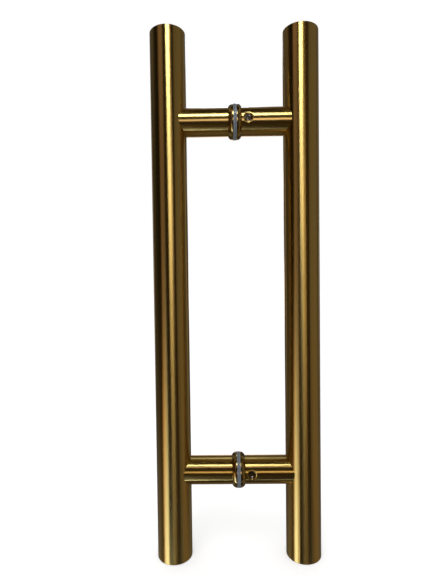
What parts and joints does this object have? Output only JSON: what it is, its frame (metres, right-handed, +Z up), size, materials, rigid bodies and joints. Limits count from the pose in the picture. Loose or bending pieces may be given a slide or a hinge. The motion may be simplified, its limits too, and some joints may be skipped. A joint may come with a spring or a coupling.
{
  "type": "ladder pull handle",
  "caption": "Back-to-back ladder pull for a door: long round bars on short round posts, bolted together through the door, with bead collars and soft washers.",
  "frame": {"origin": "centre of the whole pull, on the plane where the washers of the two sides meet, midway between the posts", "axes": "+Z up along the bars, X through the door with the locking screws on the +X posts, -Y the side the locking screws face"},
  "size_m": [0.1426, 0.03, 0.45],
  "materials": {
    "gold_metal": "polished gold-bronze coating",
    "plain_steel": "plain dark steel",
    "washer_plastic": "smooth grey"
  },
  "bodies": {
    "root": {"left_bar": "gold_metal", "left_bar_upper_cap": "gold_metal", "left_bar_lower_cap": "gold_metal", "right_bar": "gold_metal", "right_bar_upper_cap": "gold_metal", "right_bar_lower_cap": "gold_metal", "left_upper_post": "gold_metal", "right_upper_post": "gold_metal", "left_upper_threaded_plug": "gold_metal", "right_upper_clamp_boss": "gold_metal", "left_upper_gasket": "washer_plastic", "right_upper_gasket": "washer_plastic", "upper_through_bolt": "plain_steel", "upper_locking_screw": "plain_steel", "left_lower_post": "gold_metal", "right_lower_post": "gold_metal", "left_lower_threaded_plug": "gold_metal", "right_lower_clamp_boss": "gold_metal", "left_lower_gasket": "washer_plastic", "right_lower_gasket": "washer_plastic", "lower_through_bolt": "plain_steel", "lower_locking_screw": "plain_steel"}
  },
  "joints": []
}
